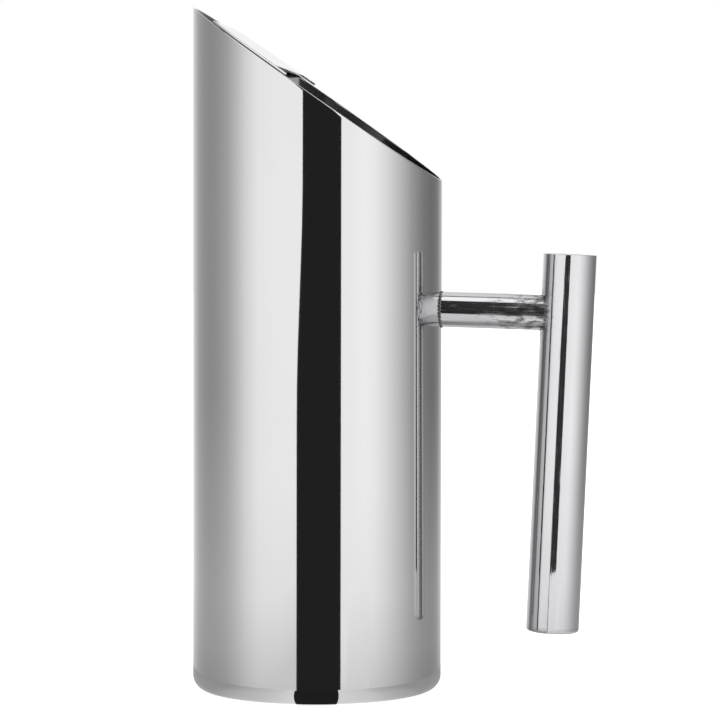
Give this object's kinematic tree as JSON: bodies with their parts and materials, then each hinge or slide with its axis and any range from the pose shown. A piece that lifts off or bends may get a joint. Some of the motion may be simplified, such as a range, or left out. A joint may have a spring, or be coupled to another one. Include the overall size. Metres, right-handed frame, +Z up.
{
  "type": "water pitcher",
  "caption": "Slant-top cylindrical metal pitcher with a flat ice guard across the mouth, a tip spout and a bar grip on a short side arm, for holding and pouring cold drinks.",
  "frame": {"origin": "middle of the flat underside of the base, on the body's axis", "axes": "+Z up along the body's axis, +X towards the handle, so the spout's tip is at -X; +Y across the body, normal to the mirror plane"},
  "size_m": [0.1646, 0.1016, 0.2786],
  "materials": {
    "mirror_steel": "mirror-polished stainless steel outside, finely polished inside",
    "base_steel": "polished stainless steel corner, satin underside",
    "guard_steel": "polished stainless steel plate",
    "handle_steel": "polished stainless steel tube with fine hairline scratches",
    "ground_seam": "weld seam ground flush and polished",
    "weld_metal": "bare weld bead, lightly heat-stained"
  },
  "bodies": {
    "root": {"body_tube": "mirror_steel", "base_pan": "base_steel", "base_seam_weld": "ground_seam", "ice_guard": "guard_steel", "guard_tack_front_left": "weld_metal", "guard_tack_front_right": "weld_metal", "guard_tack_rear_left": "weld_metal", "guard_tack_rear_right": "weld_metal", "handle_arm": "handle_steel", "arm_body_weld": "weld_metal", "arm_grip_weld": "weld_metal", "grip_tube": "handle_steel", "grip_top_cap": "handle_steel", "grip_top_seam_weld": "ground_seam", "grip_bottom_cap": "handle_steel", "grip_bottom_seam_weld": "ground_seam"}
  },
  "joints": []
}
